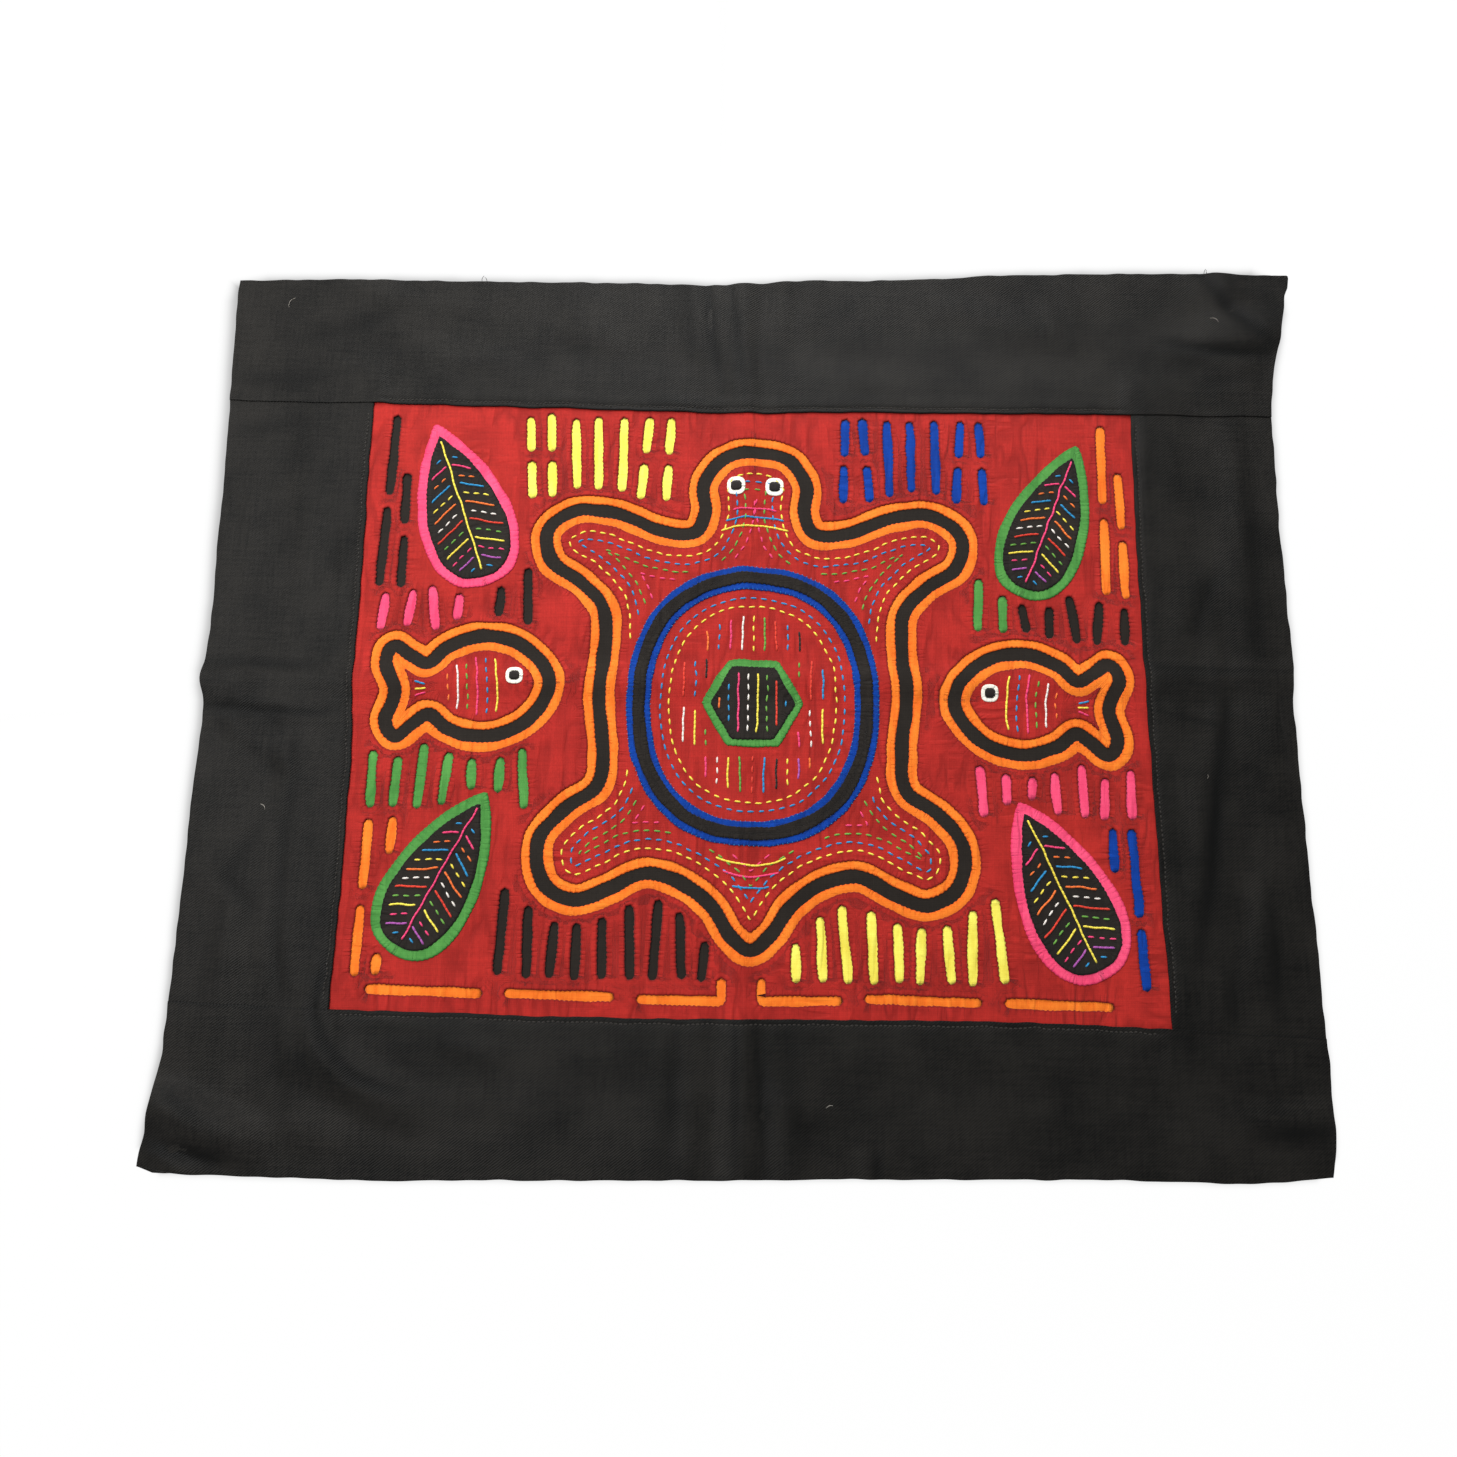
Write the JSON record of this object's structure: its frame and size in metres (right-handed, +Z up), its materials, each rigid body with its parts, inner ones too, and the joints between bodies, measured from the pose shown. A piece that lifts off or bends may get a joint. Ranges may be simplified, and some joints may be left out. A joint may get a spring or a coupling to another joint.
{
  "type": "mola panel",
  "caption": "Flat panel of layered cotton: red, orange and black cloth cut through and sewn into a turtle, fish and leaves, framed by a wide black border with soft storage folds.",
  "frame": {"origin": "middle of the panel's underside, on the surface it lies on", "axes": "+X along the long side to the right, +Y to the top edge, +Z up out of the face"},
  "size_m": [0.5988, 0.4976, 0.0054],
  "materials": {
    "black_cotton": "matte woven cotton",
    "ink_cotton": "matte woven cotton",
    "red_cotton": "matte woven cotton",
    "orange_cotton": "matte woven cotton",
    "blue_cotton": "matte woven cotton",
    "green_cotton": "matte woven cotton",
    "pink_cotton": "matte woven cotton",
    "yellow_cotton": "matte woven cotton",
    "white_cotton": "matte woven cotton"
  },
  "bodies": {
    "root": {"border_top": "black_cotton", "border_bottom": "black_cotton", "border_left": "black_cotton", "border_right": "black_cotton", "base_cloth": "ink_cotton", "turtle_band_outer": "orange_cotton", "turtle_band_inner": "orange_cotton", "turtle_field": "red_cotton", "fish_left_band_outer": "orange_cotton", "fish_left_band_inner": "orange_cotton", "fish_left_field": "red_cotton", "fish_right_band_outer": "orange_cotton", "fish_right_band_inner": "orange_cotton", "fish_right_field": "red_cotton", "ground_cloth": "red_cotton", "shell_ring": "blue_cotton", "shell_ring_strip": "ink_cotton", "scute_edge": "green_cotton", "scute_blade": "ink_cotton", "leaf_top_left_edge": "pink_cotton", "leaf_top_left_blade": "ink_cotton", "leaf_top_right_edge": "green_cotton", "leaf_top_right_blade": "ink_cotton", "leaf_bottom_left_edge": "green_cotton", "leaf_bottom_left_blade": "ink_cotton", "leaf_bottom_right_edge": "pink_cotton", "leaf_bottom_right_blade": "ink_cotton"}
  },
  "joints": []
}
